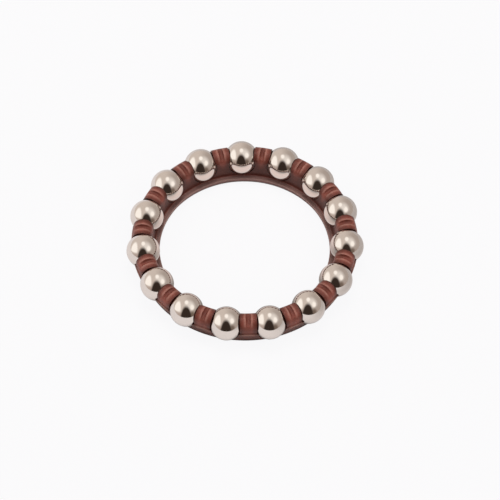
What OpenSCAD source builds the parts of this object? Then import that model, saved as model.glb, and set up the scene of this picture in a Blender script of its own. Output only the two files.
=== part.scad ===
// Caged ball ring for an angular contact thrust bearing, such as a steering head.
// Polished balls sit in one moulded cage: a ring of pillars with a rounded crown, standing on
// a thin rim that reaches inward under the balls. The balls stand proud of the cage on the
// upper inner side, where the cone runs, and on the lower outer side, where the cup runs.
// The origin is on the ring's axis, in the plane that the rim stands on.

/* [Balls] */
// Number of balls in the ring
ball_count = 15; // [8:1:17]
// Diameter of one ball
ball_d = 6.35; // [5.3:0.01:6.9]
// Diameter of the circle through the ball centres
pitch_d = 38.7; // [35.5:0.1:70]
// Gap between a ball and its pocket, all round
pocket_gap = 0.06; // [0.02:0.01:0.1]

/* [Pillars] */
// Thickness of a pillar across the ring, at the foot of its rounded crown
pillar_t = 3.8; // [3.2:0.05:4.4]
// Height of the pillar tops above the ball centres
crown_top = 2.3; // [2:0.05:2.6]
// How far the inner wall leans in between the crown and the rim, as draft for the mould
inner_lean = 0.45; // [0.3:0.05:0.7]
// How far each pillar reaches in over the balls beside it, to keep them in their pockets
lip_reach = 0.7; // [0.6:0.05:1]
// How far the upright outer wall reaches below the ball centres
outer_wall_drop = 0.35; // [0.1:0.05:1.2]
// How far the ledge at the mould's parting line stands out from the outer wall
ledge_w = 0.25; // [0.2:0.05:0.5]
// How far the top of that ledge falls on its way outward
ledge_fall = 0.1; // [0.06:0.02:0.14]

/* [Relief grooves] */
// Depth of the groove in the middle of each pillar's crown
groove_depth = 0.45; // [0.2:0.05:0.6]
// Radius of the tool that cuts the groove
groove_r = 0.45; // [0.35:0.05:0.7]
// Radius of the arc that the groove's floor follows across the ring; wider than the crown,
// so the groove is deepest on top and runs out before the pillar's walls
groove_floor_r = 3.6; // [2.8:0.1:6]

/* [Rim] */
// Height of the rim's top above the plane that it stands on
rim_h = 1.5; // [1.2:0.05:1.8]
// Thickness of the rim under the lowest point of a pocket
rim_floor = 0.75; // [0.5:0.05:1.2]
// How much nearer the axis the rim's bore lies than the balls do, so a stem meets the rim
rim_stand_in = 0.03; // [0.02:0.01:0.3]
// How far the rim reaches outward from the circle through the ball centres, at its bottom
rim_toe = 0.9; // [0.3:0.05:1.2]
// Radius on that lower outer edge of the rim
rim_toe_round = 0.15; // [0.1:0.05:0.5]
// Width of the bevel round the rim's lower inner edge
rim_bevel_w = 0.4; // [0.1:0.05:0.6]
// Height of the same bevel
rim_bevel_h = 0.9; // [0.2:0.05:1]

/* [Edges] */
// Radius of the fillet where the pillars rise from the rim
root_fillet = 0.2; // [0.1:0.05:0.5]
// Radius on the other moulded edges of the rim and the ledge
edge_r = 0.1; // [0.05:0.01:0.12]

/* [Hidden] */
$fn = 96;
// Straight steps that an arc in an outline is drawn with
ARC_STEPS = 4;
ball_r = ball_d / 2;
pitch_r = pitch_d / 2;
pocket_r = ball_r + pocket_gap;
ball_step = 360 / ball_count;
// Height of the ball centres above the plane that the rim stands on
ball_z = pocket_r + rim_floor;
pillar_half = pillar_t / 2;
// The crown is a full half round, so its radius is half the pillar's thickness
crown_z = ball_z + crown_top - pillar_half;
inner_wall_r = pitch_r - pillar_half;
inner_foot_r = inner_wall_r - inner_lean;
outer_wall_r = pitch_r + pillar_half;
rim_bore_r = pitch_r - ball_r - rim_stand_in;
rim_toe_r = pitch_r + rim_toe;
ledge_r = outer_wall_r + ledge_w;
outer_wall_z = ball_z - outer_wall_drop;
// The mouths end on the ledge's slope
mouth_z = outer_wall_z - ledge_fall / 2;
mouth_half = ball_r - lip_reach;
mouth_widening = ball_r * tan(ball_step / 2);
groove_path_r = groove_floor_r + groove_r;
groove_z = ball_z + crown_top - groove_depth - groove_floor_r;

STEEL = [0.78, 0.76, 0.74];
CAGE_RED = [0.56, 0.27, 0.24];

function ball_name(i) = str("ball_", i < 10 ? "0" : "", i);

// Plan angle of ball i, with ball 1 on the +Y axis and the rest following anticlockwise
function ball_angle(i) = 90 + (i - 1) * ball_step;

// Turns its children to the plan angle a and carries them out to the ball circle
module on_ball_circle(a) {
    rotate([0, 0, a])
        translate([pitch_r, 0, 0])
            children();
}

// Corner helpers: p is the corner, a and b the points before and after it, r its radius
function unit(v) = v / norm(v);
function half_corner(a, p, b) = acos(unit(a - p) * unit(b - p)) / 2;
function setback(a, p, b, r) = r / tan(half_corner(a, p, b));
function arc_centre(a, p, b, r) =
    p + unit(unit(a - p) + unit(b - p)) * r / sin(half_corner(a, p, b));

// Points of the arc that rounds a corner, or the corner itself where the radius is 0
function corner_arc(a, p, b, r) =
    r == 0 ? [p] :
    let (
        c = arc_centre(a, p, b, r),
        s = setback(a, p, b, r),
        first = p + unit(a - p) * s - c,
        last = p + unit(b - p) * s - c
    )
    [for (k = [0 : ARC_STEPS]) c + r * unit(first + (last - first) * k / ARC_STEPS)];

// An outline with rounded corners; each row holds a corner's point and its radius
module rounded_outline(rows) {
    n = len(rows);
    function at(i) = rows[(i + n) % n][0];
    polygon([for (i = [0 : n - 1]) each corner_arc(at(i - 1), at(i), at(i + 1), rows[i][1])]);
}

// Half section of the cage: rim, pillar walls and the half round crown
module cage_section() {
    rounded_outline([
        [[rim_bore_r + rim_bevel_w, 0], edge_r],
        [[rim_toe_r, 0], rim_toe_round],
        [[ledge_r, outer_wall_z - ledge_fall], edge_r],
        [[outer_wall_r, outer_wall_z], 0],
        [[outer_wall_r, crown_z], 0],
        [[inner_wall_r, crown_z], 0],
        [[inner_foot_r, rim_h], root_fillet],
        [[rim_bore_r, rim_h], edge_r],
        [[rim_bore_r, rim_bevel_h], 0],
    ]);
    translate([pitch_r, crown_z])
        circle(r = pillar_half);
}

// Spherical pocket that a ball turns in
module pocket() {
    translate([0, 0, ball_z])
        sphere(r = pocket_r);
}

// Opening over one ball. It widens outward, so the flanks of each pillar are parallel
module mouth() {
    inner = mouth_half - mouth_widening;
    outer = mouth_half + mouth_widening;
    translate([0, 0, mouth_z])
        linear_extrude(ball_d)
            polygon([[-ball_r, -inner], [ball_r, -outer], [ball_r, outer], [-ball_r, inner]]);
}

// Groove over one pillar's crown, between the two lips that hold the balls on either side
module relief_groove() {
    translate([0, 0, groove_z])
        rotate([90, 0, 0])
            rotate_extrude(angle = 180)
                translate([groove_path_r, 0])
                    circle(r = groove_r);
}

// The moulded cage, one piece
module cage() {
    color(CAGE_RED)
        difference() {
            rotate_extrude()
                cage_section();
            for (i = [1 : ball_count]) {
                on_ball_circle(ball_angle(i)) {
                    pocket();
                    mouth();
                }
                on_ball_circle(ball_angle(i) + ball_step / 2)
                    relief_groove();
            }
        }
}

// Ball i in its pocket
module ball(i) {
    color(STEEL)
        on_ball_circle(ball_angle(i))
            translate([0, 0, ball_z])
                sphere(d = ball_d);
}

cage();
for (i = [1 : ball_count])
    ball(i);
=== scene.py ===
# Camera, studio and surface finish of a caged ball ring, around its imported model.
# The solids keep their own meshes: this script gives the moulded cage and the polished balls
# their materials, and sets up a pale table, a light tent, soft lamps and a long-lens camera.
# All lengths are in metres, and the named angles in degrees unless a name says otherwise.
import math

import bmesh
import bpy
from mathutils import Matrix, Vector


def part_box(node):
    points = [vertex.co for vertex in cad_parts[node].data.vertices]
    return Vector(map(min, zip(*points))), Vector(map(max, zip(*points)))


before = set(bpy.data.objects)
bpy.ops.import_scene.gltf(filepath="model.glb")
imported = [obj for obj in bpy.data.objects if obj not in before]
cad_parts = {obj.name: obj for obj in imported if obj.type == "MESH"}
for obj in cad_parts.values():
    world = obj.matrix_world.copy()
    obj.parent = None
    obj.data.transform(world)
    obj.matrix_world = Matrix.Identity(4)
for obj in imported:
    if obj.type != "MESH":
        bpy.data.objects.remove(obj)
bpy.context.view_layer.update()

# The ring's own sizes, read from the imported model
FIRST_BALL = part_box("ball_01")
BALL_CENTRE = (FIRST_BALL[0] + FIRST_BALL[1]) / 2
BALL_RADIUS = (FIRST_BALL[1].z - FIRST_BALL[0].z) / 2
RING_RADIUS = math.hypot(BALL_CENTRE.x, BALL_CENTRE.y)
RING_CENTRE = Vector((0, 0, BALL_CENTRE.z))
BALL_STEP_RAD = 2 * math.pi / sum(name.startswith("ball_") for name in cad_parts)

# Where the photograph was taken from, and where the ring stands in its frame
PHOTO_PX = 500
RING_CENTRE_PX = (244.8, 239.8)
RING_RADIUS_PX = 102.3
VIEW_ELEVATION = 55.0
VIEW_HEADING = 2.57
VIEW_ROLL = 0.81
VIEW_DISTANCE = 34.2 * RING_RADIUS
SENSOR = 0.036
MM_PER_METRE = 1000

# Colours of the plastic and the steel, linear RGB
CAGE_RED = (0.285, 0.078, 0.057, 1)
CAGE_BROWN = (0.180, 0.048, 0.033, 1)
# Lighter plastic: edge wear, and painted highlights beside the grooves and on the ledge
CAGE_WEAR_AND_HIGHLIGHT = (0.37, 0.20, 0.165, 1)
# Painted sheen on the rim's top and bevel
CAGE_PAINTED_SHEEN = (0.42, 0.27, 0.25, 1)
# Painted shade in the grooves and corners, beside the balls, on the inner walls and the skirt
CAGE_PAINTED_SHADE = (0.050, 0.010, 0.006, 1)
STEEL = (0.82, 0.775, 0.73, 1)
STEEL_SHADE = (0.78, 0.735, 0.69, 1)

# Texture of the plastic: clouds of colour and roughness, and the mould's fine grain. Zones that
# run along a groove wander with the clouds. The roughness is multiplied by the first share
# where the painted shade is full, and by the second where there is none
CLOUD_SIZE = 0.0022
CLOUD_FADE = (0.34, 0.66)
CLOUD_WANDER = 0.0003
GRAIN_SIZE = 0.00013
GRAIN_IN_CLOUDS = 0.6
GRAIN_DEPTH = 0.00003
PLASTIC_ROUGH = (0.32, 0.50)
SHADED_ROUGH_SHARE = (0.70, 1.0)

# The plastic's edges, rounded in their shading alone, and the cosines of the bend at which
# rubbing starts and at which it is full
EDGE_ROUND = 0.00012
EDGE_BEND = (0.98, 0.80)
# How near a wall hides the sky from a corner, and the share of sky at which its painted shade is
# darkest
SKY_REACH = 0.005
SKY_LEAST = 0.10

# How far painted shade darkens the plastic, and how far painted highlights, a painted sheen and
# edge wear make it lighter
RIM_PAINTED_SHADE = 0.20
LIP_PAINTED_SHADE = 0.70
WALL_PAINTED_SHADE = 0.80
SKIRT_PAINTED_SHADE = 0.16
GROOVE_PAINTED_SHADE = 0.32
GROOVE_SIDE_HIGHLIGHT = 0.45
LEDGE_HIGHLIGHT = 0.80
EDGE_RUBBED = 0.5
RIM_SHEEN = 0.26
RIM_TOP_SHEEN = 0.85
BEVEL_SHEEN = 0.60

# The zones that these cover. Each pair is where a zone starts and where it is full, along one
# measure: OUT from the ball circle, UP from the balls' centres, ASIDE along the ring from the
# middle of a pillar, or GAP from the nearest ball
CROWN_UP = (0.0011, 0.0019)
GROOVE_ASIDE = (0.00056, 0.00026)
GROOVE_SIDE_ASIDE = (0.00042, 0.00058)
GROOVE_SIDE_END_ASIDE = (0.00100, 0.00066)
LEDGE_OUT = (0.00188, 0.00200)
LEDGE_UP = (-0.00062, -0.00052)
LEDGE_END_UP = (0.00035, -0.00005)
RIM_OUT = (-0.0023, -0.0026)
RIM_TOP_UP = (-0.0030, -0.0026)
BEVEL_UP = (-0.0032, -0.0037)
WALL_OUT = (-0.0012, -0.0019)
WALL_UP = (-0.0026, -0.0021)
WALL_END_UP = (0.0015, -0.0012)
SKIRT_OUT = (0.0, 0.0006)
SKIRT_UP = (-0.0006, -0.0010)
LIP_GAP = (0.0011, 0.0002)
LIP_UP = (-0.0025, 0.0005)

# Texture of the balls: an uneven film of oil and the last traces of lapping
FILM_SIZE = 0.0018
LAPPING_SIZE = 0.00008
LAPPING_DEPTH = 0.000002
STEEL_ROUGH = (0.05, 0.11)

# The table, a sheet of paper: how it is seen, and how it scatters light
PAPER = (0.996, 0.993, 1.000, 1)
PAPER_SHADE = (0.988, 0.985, 1.000, 1)
PAPER_GREY = (0.68, 0.67, 0.67, 1)
PAPER_ROUGH = (0.7, 1.0)
FIBRE_SIZE = 0.0006
FIBRE_DEPTH = 0.00003
TABLE_HALF = 3.0
# How much of the table's look is its own faint glow, to the camera and in polished metal
TABLE_GLOW_SEEN = 0.92
TABLE_GLOW_MIRRORED = 0.65

# The table as polished metal mirrors it, as a painted reflection: lit near the ring, with painted
# shade in the front of the ring's hole and far beyond it, and painted pinkish light in its back.
# Each pair is where a zone starts and where it is full, as a distance from the origin, a place
# along Y, or the direction's dot product with FAR_WAY, the way in which the image gets dimmer
TABLE_NEAR = (0.94, 0.87, 0.87, 1)
# Painted shade far beyond the ring, in its mirrored image
TABLE_FAR = (0.44, 0.39, 0.38, 1)
# Painted shade in the front of the ring's hole, and painted pinkish light in its back
HOLE_FRONT = (0.10, 0.09, 0.085, 1)
HOLE_BACK = (0.98, 0.78, 0.74, 1)
HOLE_AWAY = (0.017, 0.013)
HOLE_BACK_Y = (-0.012, 0.010)
FAR_AWAY = (0.018, 0.030)
FAR_WAY = (0.8, 0.45, 0)
FAR_WAY_DOT = (-0.45, 0.8)
GLOW_INSIDE_AWAY = (0.0170, 0.0155)
GLOW_OUTSIDE_AWAY = (0.0205, 0.0230)

# The light tent: cloth colours from left to right, then soft patches over them. A patch is its
# middle and half reach as angles across the view and over it, from the table before the ring
# up and back, then the softness of its edge, the power that rounds it, and its light
CLOTH_LEFT = (0.72, 0.63, 0.57, 1)
CLOTH_RIGHT = (0.48, 0.41, 0.37, 1)
CLOTH_FADE = (-0.3, 0.6)
CLOTH_LIT = (0.92, 0.86, 0.81, 1)
CLOTH_SHADED = (0.48, 0.38, 0.34, 1)
OPENING_EDGE = (0.20, 0.15, 0.12, 1)
WINDOW_LIGHT = (1.20, 1.14, 1.08, 1)
OPENING_DARK = (0.040, 0.027, 0.021, 1)
TENT_PATCHES = (
    ((24, 86), (29, 34), 0.70, 2, CLOTH_LIT),
    ((-63, 88), (24, 55), 0.25, 4, WINDOW_LIGHT),
    ((38, 75), (13, 21), 0.45, 2, WINDOW_LIGHT),
    ((-1, 106), (11, 15), 0.40, 2, WINDOW_LIGHT),
    ((0, 8), (68, 24), 0.60, 2, CLOTH_SHADED),
    ((36, 14), (17, 26), 0.60, 2, OPENING_EDGE),
    ((-3, 0), (32, 76), 0.18, 2.2, OPENING_DARK),
)
TENT_RADIUS = 0.6
TENT_SEGMENTS = 64
TENT_RINGS = 32

# The room's fill light, and the soft lamps: name, heading, elevation, size and watts
FILL_COLOUR = (1.0, 0.98, 0.96, 1)
FILL_STRENGTH = 0.28
LAMP_WHITE = (1.0, 0.97, 0.92)
LAMP_DISTANCE = 0.5
LAMPS = (
    ("softbox_left", -99, 39, 0.35, 0.9),
    ("softbox_right", 77, 49, 0.30, 0.7),
    ("softbox_top", 180, 73, 0.25, 1.2),
    ("softbox_front", 10, 22, 0.20, 0.35),
)

# The Mix node's sockets for colours have no names of their own
MIX_FIRST, MIX_SECOND, MIX_RESULT = 6, 7, 2


def node_maker(tree):
    """A function that adds a node to the tree. An input is a value, or a socket to link from."""

    def add(kind, inputs=None, **settings):
        node = tree.nodes.new(kind)
        for name, value in settings.items():
            setattr(node, name, value)
        for name, value in (inputs or {}).items():
            if isinstance(value, bpy.types.NodeSocket):
                tree.links.new(value, node.inputs[name])
            else:
                node.inputs[name].default_value = value
        return node

    return add


def new_material(name):
    """An empty node material, and a function that adds a node to it with its inputs set."""
    material = bpy.data.materials.new(name)
    material.use_nodes = True
    material.node_tree.nodes.clear()
    return material, node_maker(material.node_tree)


def maths(add, operation, *values):
    """One step of arithmetic on values or sockets."""
    return add("ShaderNodeMath", dict(enumerate(values)), operation=operation).outputs[0]


def product(add, first, *others):
    """All the values multiplied."""
    for value in others:
        first = maths(add, "MULTIPLY", first, value)
    return first


def vector_maths(add, operation, *values, result="Vector"):
    """One step of arithmetic on vectors. The result is Value where it is a number."""
    node = add("ShaderNodeVectorMath", dict(enumerate(values)), operation=operation)
    return node.outputs[result]


def combine(add, x, y, z=0.0):
    """A vector from its three components."""
    return add("ShaderNodeCombineXYZ", {"X": x, "Y": y, "Z": z}).outputs[0]


def separate(add, vector):
    """A vector's components, by the names X, Y and Z."""
    return add("ShaderNodeSeparateXYZ", {0: vector}).outputs


def span(add, value, low, high):
    """Spreads a value from 0 to 1 over the range from low to high."""
    return add("ShaderNodeMapRange", {"Value": value, "To Min": low, "To Max": high}).outputs[0]


def ramp(add, value, start, end, low=0.0, high=1.0):
    """Goes smoothly from low to high while the value goes from start to end."""
    inputs = {"Value": value, "From Min": start, "From Max": end, "To Min": low, "To Max": high}
    return add("ShaderNodeMapRange", inputs, interpolation_type="SMOOTHSTEP").outputs[0]


def zone(add, *edges):
    """1 inside a zone and 0 outside it. An edge is a measure and the pair it fades between."""
    return product(add, *(ramp(add, measure, *pair) for measure, pair in edges))


def noise(add, place, size, detail, roughness):
    """Noise whose features are about size across."""
    inputs = {"Vector": place, "Scale": 1 / size, "Detail": detail, "Roughness": roughness}
    return add("ShaderNodeTexNoise", inputs).outputs["Fac"]


def swing(add, value, reach):
    """A value around 0.5 turned into one around 0."""
    return product(add, maths(add, "SUBTRACT", value, 0.5), reach)


def mix_colours(add, share, first, second):
    """The colour between first and second by share."""
    inputs = {"Factor": share, MIX_FIRST: first, MIX_SECOND: second}
    return add("ShaderNodeMix", inputs, data_type="RGBA").outputs[MIX_RESULT]


def mix_shaders(add, share, first, second):
    """The node that mixes two shader nodes by share."""
    inputs = {"Fac": share, 1: first.outputs[0], 2: second.outputs[0]}
    return add("ShaderNodeMixShader", inputs)


def bump(add, height, strength, depth, **normal):
    """The normal over a relief. Normal= gives the one that the relief lies on."""
    inputs = {"Height": height, "Strength": strength, "Distance": depth, **normal}
    return add("ShaderNodeBump", inputs).outputs[0]


def ring_place(add, place):
    """Where a point of the cage is: its gap to the nearest ball, its way along the ring from
    the middle of its pillar, its way out from the ball circle and its height over the balls'
    centres."""
    axes = separate(add, place)
    reach = vector_maths(add, "LENGTH", combine(add, axes["X"], axes["Y"]), result="Value")
    turn = maths(add, "ARCTAN2", axes["X"], axes["Y"])
    turn = maths(add, "WRAP", turn, BALL_STEP_RAD / 2, -BALL_STEP_RAD / 2)
    turn = maths(add, "ABSOLUTE", turn)
    up = maths(add, "SUBTRACT", axes["Z"], BALL_CENTRE.z)
    ahead = product(add, reach, maths(add, "COSINE", turn))
    ahead = maths(add, "SUBTRACT", ahead, RING_RADIUS)
    along = product(add, reach, maths(add, "SINE", turn))
    offset = combine(add, ahead, along, up)
    gap = vector_maths(add, "LENGTH", offset, result="Value")
    gap = maths(add, "SUBTRACT", gap, BALL_RADIUS)
    aside = maths(add, "SUBTRACT", BALL_STEP_RAD / 2, turn)
    aside = product(add, reach, maths(add, "SINE", aside))
    return gap, aside, maths(add, "SUBTRACT", reach, RING_RADIUS), up


def tinted(add, colour, where, share, tint):
    """The colour with a tint over it, as far as share says, where the zone is."""
    return mix_colours(add, product(add, where, share), colour, tint)


def highlighted_colour(add, mottle, aside, out, up):
    """The plastic's mottled red-brown, with painted highlights beside the grooves and on the
    ledge, and a painted sheen on the rim and its bevel.
    """
    colour = mix_colours(add, ramp(add, mottle, *CLOUD_FADE), CAGE_RED, CAGE_BROWN)
    # Painted highlight on each side of a pillar's groove
    groove_highlight = zone(add, (aside, GROOVE_SIDE_ASIDE), (aside, GROOVE_SIDE_END_ASIDE), (up, CROWN_UP))
    colour = tinted(add, colour, groove_highlight, GROOVE_SIDE_HIGHLIGHT, CAGE_WEAR_AND_HIGHLIGHT)
    # Painted highlight along the ledge at the foot of the outer wall
    ledge_highlight = zone(add, (out, LEDGE_OUT), (up, LEDGE_UP), (up, LEDGE_END_UP))
    colour = tinted(add, colour, ledge_highlight, LEDGE_HIGHLIGHT, CAGE_WEAR_AND_HIGHLIGHT)
    # Painted sheen on the rim, strongest on its top
    rim_sheen_share = ramp(add, up, *RIM_TOP_UP, RIM_SHEEN, RIM_TOP_SHEEN)
    colour = tinted(add, colour, zone(add, (out, RIM_OUT)), rim_sheen_share, CAGE_PAINTED_SHEEN)
    # Painted sheen on the rim's bevel
    bevel_sheen_zone = zone(add, (out, RIM_OUT), (up, BEVEL_UP))
    return tinted(add, colour, bevel_sheen_zone, BEVEL_SHEEN, CAGE_PAINTED_SHEEN)


def left_unshaded(add, share, *edges):
    """What is left unshaded where painted shade darkens a zone by share. It is 1 outside the
    zone.
    """
    return maths(add, "SUBTRACT", 1.0, product(add, zone(add, *edges), share))


def unshaded_share(add, gap, aside, out, up):
    """How far the plastic is left without painted shade: in its grooves, beside the balls, on its
    inner walls and skirt, and in the dark of corners.
    """
    lip_shade = ramp(add, up, *LIP_UP, RIM_PAINTED_SHADE, LIP_PAINTED_SHADE)
    sky = add("ShaderNodeAmbientOcclusion", {"Distance": SKY_REACH}, samples=8).outputs["AO"]
    return product(
        add,
        left_unshaded(add, GROOVE_PAINTED_SHADE, (aside, GROOVE_ASIDE), (up, CROWN_UP)),
        left_unshaded(add, lip_shade, (gap, LIP_GAP)),
        left_unshaded(add, WALL_PAINTED_SHADE, (out, WALL_OUT), (up, WALL_UP), (up, WALL_END_UP)),
        left_unshaded(add, SKIRT_PAINTED_SHADE, (out, SKIRT_OUT), (up, SKIRT_UP)),
        add("ShaderNodeMapRange", {"Value": sky, "From Min": SKY_LEAST}).outputs[0],
    )


def cage_plastic():
    """Semi-gloss moulded plastic: mottled red-brown, with a spark-eroded grain. Painted shade
    darkens it beside the balls, in its grooves and corners, and on its inner walls and skirt.
    Painted highlights lighten its grooves' sides and its ledge, a painted sheen its rim, and wear
    its edges."""
    material, add = new_material("cage_plastic")
    place = add("ShaderNodeTexCoord").outputs["Object"]
    cloud = noise(add, place, CLOUD_SIZE, detail=4.0, roughness=0.6)
    grain = noise(add, place, GRAIN_SIZE, detail=2.0, roughness=0.6)
    gap, aside, out, up = ring_place(add, place)
    aside = maths(add, "ADD", aside, swing(add, cloud, CLOUD_WANDER))
    mottle = maths(add, "ADD", swing(add, grain, GRAIN_IN_CLOUDS), cloud)
    colour = highlighted_colour(add, mottle, aside, out, up)
    rounded = add("ShaderNodeBevel", {"Radius": EDGE_ROUND}, samples=4).outputs[0]
    flat = add("ShaderNodeNewGeometry").outputs["Normal"]
    bend = vector_maths(add, "DOT_PRODUCT", rounded, flat, result="Value")
    colour = tinted(add, colour, ramp(add, bend, *EDGE_BEND), EDGE_RUBBED, CAGE_WEAR_AND_HIGHLIGHT)
    # The plastic darkened by painted shade in its grooves, beside the balls, on its inner walls
    # and skirt, and in corners
    unshaded = unshaded_share(add, gap, aside, out, up)
    rough = product(add, span(add, cloud, *PLASTIC_ROUGH), span(add, unshaded, *SHADED_ROUGH_SHARE))
    relief = maths(add, "ADD", grain, cloud)
    shader = add(
        "ShaderNodeBsdfPrincipled",
        {
            "Base Color": mix_colours(add, unshaded, CAGE_PAINTED_SHADE, colour),
            "Roughness": rough,
            "Normal": bump(add, relief, strength=0.5, depth=GRAIN_DEPTH, Normal=rounded),
            "IOR": 1.5,
            "Specular IOR Level": 0.35,
        },
    )
    add("ShaderNodeOutputMaterial", {"Surface": shader.outputs[0]})
    return material


def ball_normal(add, place):
    """The true normal of the ball that a point is on, which its mesh has only roughly."""
    axes = separate(add, place)
    turn = maths(add, "ARCTAN2", axes["X"], axes["Y"])
    turn = maths(add, "SNAP", maths(add, "ADD", turn, BALL_STEP_RAD / 2), BALL_STEP_RAD)
    x = product(add, maths(add, "SINE", turn), RING_RADIUS)
    y = product(add, maths(add, "COSINE", turn), RING_RADIUS)
    way = vector_maths(add, "SUBTRACT", place, combine(add, x, y, BALL_CENTRE.z))
    sides = {"vector_type": "NORMAL", "convert_from": "OBJECT", "convert_to": "WORLD"}
    return add("ShaderNodeVectorTransform", {0: way}, **sides).outputs[0]


def ball_steel():
    """Mirror-polished bearing steel, with a thin uneven film of oil."""
    material, add = new_material("ball_steel")
    place = add("ShaderNodeTexCoord").outputs["Object"]
    film = noise(add, place, FILM_SIZE, detail=3.0, roughness=0.55)
    lapping = noise(add, place, LAPPING_SIZE, detail=1.0, roughness=0.5)
    normal = ball_normal(add, place)
    shader = add(
        "ShaderNodeBsdfPrincipled",
        {
            "Base Color": mix_colours(add, film, STEEL, STEEL_SHADE),
            "Metallic": 1.0,
            "Roughness": span(add, film, *STEEL_ROUGH),
            "Normal": bump(add, lapping, strength=0.05, depth=LAPPING_DEPTH, Normal=normal),
        },
    )
    add("ShaderNodeOutputMaterial", {"Surface": shader.outputs[0]})
    return material


def dress(node, material):
    """Gives a solid's every face one material."""
    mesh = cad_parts[node].data
    mesh.materials.clear()
    mesh.materials.append(material)


def put_in_scene(name, data):
    """A new object that holds the data, in the scene."""
    thing = bpy.data.objects.new(name, data)
    bpy.context.scene.collection.objects.link(thing)
    return thing


def patch(add, across, over, centre, half, soft, power):
    """1 inside a rounded patch of the dome and 0 outside it, with a soft edge."""
    offsets = []
    for angle, middle, reach in zip((across, over), centre, half):
        away = maths(add, "DIVIDE", maths(add, "SUBTRACT", angle, middle), reach)
        offsets.append(maths(add, "POWER", maths(add, "ABSOLUTE", away), power))
    away = maths(add, "POWER", maths(add, "ADD", *offsets), 1 / power)
    return ramp(add, away, 1 - soft, 1 + soft, 1, 0)


def tent_cloth():
    """The tent that polished metal mirrors: cloth, soft windows and the opening at the front."""
    material, add = new_material("light_tent")
    place = add("ShaderNodeTexCoord").outputs["Object"]
    axes = separate(add, vector_maths(add, "NORMALIZE", place))
    toward = product(add, axes["Y"], -1.0)
    across = maths(add, "DEGREES", maths(add, "ARCSINE", axes["X"]))
    over = maths(add, "DEGREES", maths(add, "ARCTAN2", axes["Z"], toward))
    colour = mix_colours(add, ramp(add, axes["X"], *CLOTH_FADE), CLOTH_LEFT, CLOTH_RIGHT)
    for centre, half, soft, power, light in TENT_PATCHES:
        share = patch(add, across, over, centre, half, soft, power)
        colour = mix_colours(add, share, colour, light)
    shader = add("ShaderNodeEmission", {"Color": colour, "Strength": 1.0})
    add("ShaderNodeOutputMaterial", {"Surface": shader.outputs[0]})
    return material


def make_tent():
    """The light tent, a dome that only reflections show. Its -Y is towards the camera."""
    size = {"u_segments": TENT_SEGMENTS, "v_segments": TENT_RINGS, "radius": TENT_RADIUS}
    shape = bmesh.new()
    bmesh.ops.create_uvsphere(shape, **size)
    mesh = bpy.data.meshes.new("light_tent")
    shape.to_mesh(mesh)
    shape.free()
    mesh.materials.append(tent_cloth())
    tent = put_in_scene("light_tent", mesh)
    tent.location = RING_CENTRE
    tent.rotation_euler = (0, 0, math.radians(-VIEW_HEADING))
    tent.visible_camera = False
    tent.visible_diffuse = False
    tent.visible_transmission = False
    tent.visible_volume_scatter = False
    tent.visible_shadow = False


def table_mirrored(add, place):
    """The table as polished metal mirrors it, a painted reflection with painted shade and light
    in the ring's hole and painted shade far beyond it, and where it glows there: not under the
    ring, so that the ring's shadow shows."""
    away = vector_maths(add, "LENGTH", place, result="Value")
    way = vector_maths(add, "NORMALIZE", place)
    dot = vector_maths(add, "DOT_PRODUCT", way, FAR_WAY, result="Value")
    back = ramp(add, separate(add, place)["Y"], *HOLE_BACK_Y)
    hole = mix_colours(add, back, HOLE_FRONT, HOLE_BACK)
    shade = mix_colours(add, ramp(add, away, *HOLE_AWAY), TABLE_NEAR, hole)
    far = zone(add, (away, FAR_AWAY), (dot, FAR_WAY_DOT))
    shade = mix_colours(add, far, shade, TABLE_FAR)
    inside = ramp(add, away, *GLOW_INSIDE_AWAY)
    outside = ramp(add, away, *GLOW_OUTSIDE_AWAY)
    return add("ShaderNodeEmission", {"Color": shade}), maths(add, "MAXIMUM", inside, outside)


def table_paper():
    """Pale paper. It shines a little where it is seen, so that its shadows stay faint."""
    material, add = new_material("table_paper")
    place = add("ShaderNodeTexCoord").outputs["Object"]
    fibres = noise(add, place, FIBRE_SIZE, detail=4.0, roughness=0.6)
    rough = span(add, fibres, *PAPER_ROUGH)
    normal = bump(add, fibres, strength=0.3, depth=FIBRE_DEPTH)
    matt = {"Color": PAPER_GREY, "Roughness": rough, "Normal": normal}
    matt = add("ShaderNodeBsdfDiffuse", matt)
    lit = mix_colours(add, fibres, PAPER, PAPER_SHADE)
    lit = add("ShaderNodeEmission", {"Color": lit, "Strength": 1.0})
    mirrored, glows = table_mirrored(add, place)
    path = add("ShaderNodeLightPath").outputs
    seen = maths(add, "MAXIMUM", path["Is Camera Ray"], path["Is Transmission Ray"])
    look = mix_shaders(add, product(add, seen, TABLE_GLOW_SEEN), matt, lit)
    in_metal = product(add, path["Is Glossy Ray"], TABLE_GLOW_MIRRORED, glows)
    look = mix_shaders(add, in_metal, look, mirrored)
    add("ShaderNodeOutputMaterial", {"Surface": look.outputs[0]})
    return material


def make_table():
    """The pale table that the ring stands on."""
    far = TABLE_HALF
    corners = [(-far, -far, 0), (far, -far, 0), (far, far, 0), (-far, far, 0)]
    mesh = bpy.data.meshes.new("table")
    mesh.from_pydata(corners, [], [(0, 1, 2, 3)])
    mesh.materials.append(table_paper())
    put_in_scene("table", mesh)


def make_world():
    """An even pale room: white where it is seen or mirrored, and a soft fill where it lights."""
    world = bpy.data.worlds.new("room")
    world.use_nodes = True
    world.node_tree.nodes.clear()
    add = node_maker(world.node_tree)
    path = add("ShaderNodeLightPath").outputs
    seen = maths(add, "MAXIMUM", path["Is Glossy Ray"], path["Is Transmission Ray"])
    seen = maths(add, "MAXIMUM", path["Is Camera Ray"], seen)
    fill = add("ShaderNodeBackground", {"Color": FILL_COLOUR, "Strength": FILL_STRENGTH})
    white = add("ShaderNodeBackground", {"Color": PAPER, "Strength": 1.0})
    look = mix_shaders(add, seen, fill, white)
    add("ShaderNodeOutputWorld", {"Surface": look.outputs[0]})
    bpy.context.scene.world = world


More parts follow.
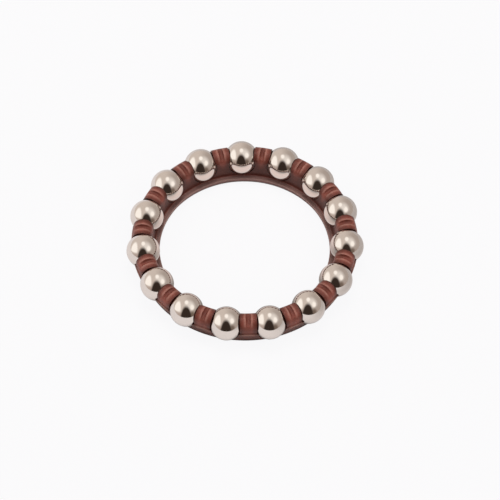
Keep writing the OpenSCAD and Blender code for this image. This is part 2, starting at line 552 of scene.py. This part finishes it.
def dome_point(heading, elevation, radius):
    """A point on a dome round the ring. Heading 0 is towards the camera, 90 to its right."""
    h, e = math.radians(heading - VIEW_HEADING), math.radians(elevation)
    way = Vector((math.sin(h) * math.cos(e), -math.cos(h) * math.cos(e), math.sin(e)))
    return RING_CENTRE + radius * way


def make_lamp(name, heading, elevation, size, watts):
    """A square soft lamp aimed at the ring. The tent's windows stand for it in reflections."""
    data = bpy.data.lights.new(name, "AREA")
    data.shape = "SQUARE"
    data.size = size
    data.energy = watts
    data.color = LAMP_WHITE
    lamp = put_in_scene(name, data)
    lamp.location = dome_point(heading, elevation, LAMP_DISTANCE)
    lamp.rotation_mode = "QUATERNION"
    lamp.rotation_quaternion = (RING_CENTRE - lamp.location).to_track_quat("-Z", "Y")
    lamp.visible_glossy = False


def make_camera():
    """The long-lens camera, from the photograph's side, height, distance and roll."""
    elevation, roll = math.radians(VIEW_ELEVATION), math.radians(VIEW_ROLL)
    focal_px = RING_RADIUS_PX * VIEW_DISTANCE / RING_RADIUS
    ahead = Vector((0, math.cos(elevation), -math.sin(elevation)))
    level_up = Vector((0, math.sin(elevation), math.cos(elevation)))
    level_right = Vector((1, 0, 0))
    right = math.cos(roll) * level_right + math.sin(roll) * level_up
    up = math.cos(roll) * level_up - math.sin(roll) * level_right
    to_right = (RING_CENTRE_PX[0] - PHOTO_PX / 2) / focal_px * VIEW_DISTANCE
    to_top = -(RING_CENTRE_PX[1] - PHOTO_PX / 2) / focal_px * VIEW_DISTANCE
    pose = Matrix((right, up, -ahead)).transposed().to_4x4()
    pose.translation = RING_CENTRE - to_right * right - to_top * up - VIEW_DISTANCE * ahead
    data = bpy.data.cameras.new("camera")
    data.sensor_width = MM_PER_METRE * SENSOR
    data.lens = MM_PER_METRE * SENSOR * focal_px / PHOTO_PX
    camera = put_in_scene("camera", data)
    camera.matrix_world = Matrix.Rotation(math.radians(-VIEW_HEADING), 4, "Z") @ pose
    bpy.context.scene.camera = camera


make_camera()
make_world()
make_table()
make_tent()
for lamp in LAMPS:
    make_lamp(*lamp)

plastic = cage_plastic()
steel = ball_steel()
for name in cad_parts:
    dress(name, plastic if name == "cage" else steel)

bpy.context.scene.view_settings.view_transform = "Standard"
